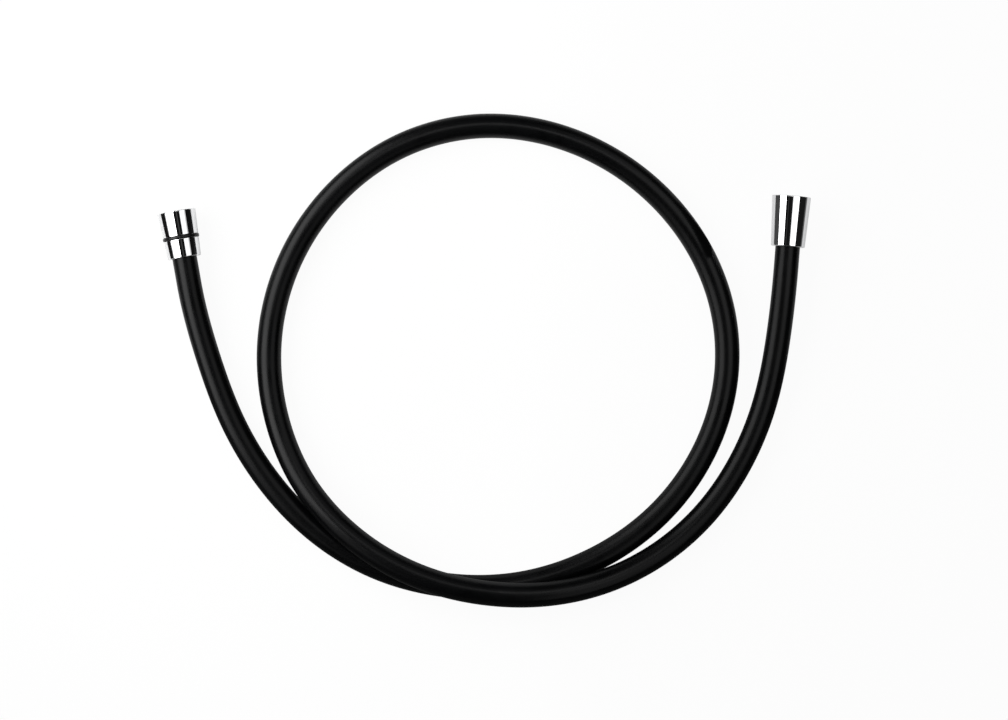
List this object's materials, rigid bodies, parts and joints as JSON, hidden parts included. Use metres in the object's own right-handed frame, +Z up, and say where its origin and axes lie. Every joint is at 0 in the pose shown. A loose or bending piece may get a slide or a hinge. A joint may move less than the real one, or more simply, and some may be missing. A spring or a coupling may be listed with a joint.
{
  "type": "shower hose",
  "caption": "Smooth plastic shower hose laid in one loop, with a chromed swivel cone nut at one end and a plain chromed cone nut at the other.",
  "frame": {"origin": "on the surface that the hose lies on, midway between the two end fittings", "axes": "+X from the swivel end towards the plain cone end, +Y the way both ends point, +Z up from the surface"},
  "size_m": [0.4075, 0.3077, 0.0315],
  "materials": {
    "hose_black": "satin",
    "ring_black": "satin",
    "chrome": "polished",
    "brass": "satin",
    "steel": "satin",
    "seal_rubber": "matte",
    "bush_plastic": "satin"
  },
  "bodies": {
    "root": {"hose": "hose_black", "swivel_ring": "ring_black", "swivel_sleeve": "chrome", "swivel_stem": "brass", "swivel_o_ring": "seal_rubber", "swivel_clip": "steel", "swivel_ferrule": "steel", "cone_stem": "brass", "cone_ferrule": "steel"},
    "bush": {"swivel_bush": "bush_plastic"},
    "swivel_nut": {"swivel_nut": "chrome", "swivel_washer": "seal_rubber"},
    "cone_nut": {"cone_nut": "chrome", "cone_washer": "seal_rubber"}
  },
  "joints": [
    {"name": "swivel_turn", "type": "hinge", "parent": "root", "child": "bush", "pos_m": [-0.1921, 0.013, 0.0119], "axis": [-0.1736, 0.9848, 0], "continuous": true},
    {"name": "swivel_nut_turn", "type": "hinge", "parent": "bush", "child": "swivel_nut", "pos_m": [-0.1921, 0.013, 0.0119], "axis": [-0.1736, 0.9848, 0], "continuous": true},
    {"name": "cone_nut_turn", "type": "hinge", "parent": "root", "child": "cone_nut", "pos_m": [0.1918, 0.0224, 0.0121], "axis": [0.0785, 0.9969, 0], "continuous": true}
  ]
}
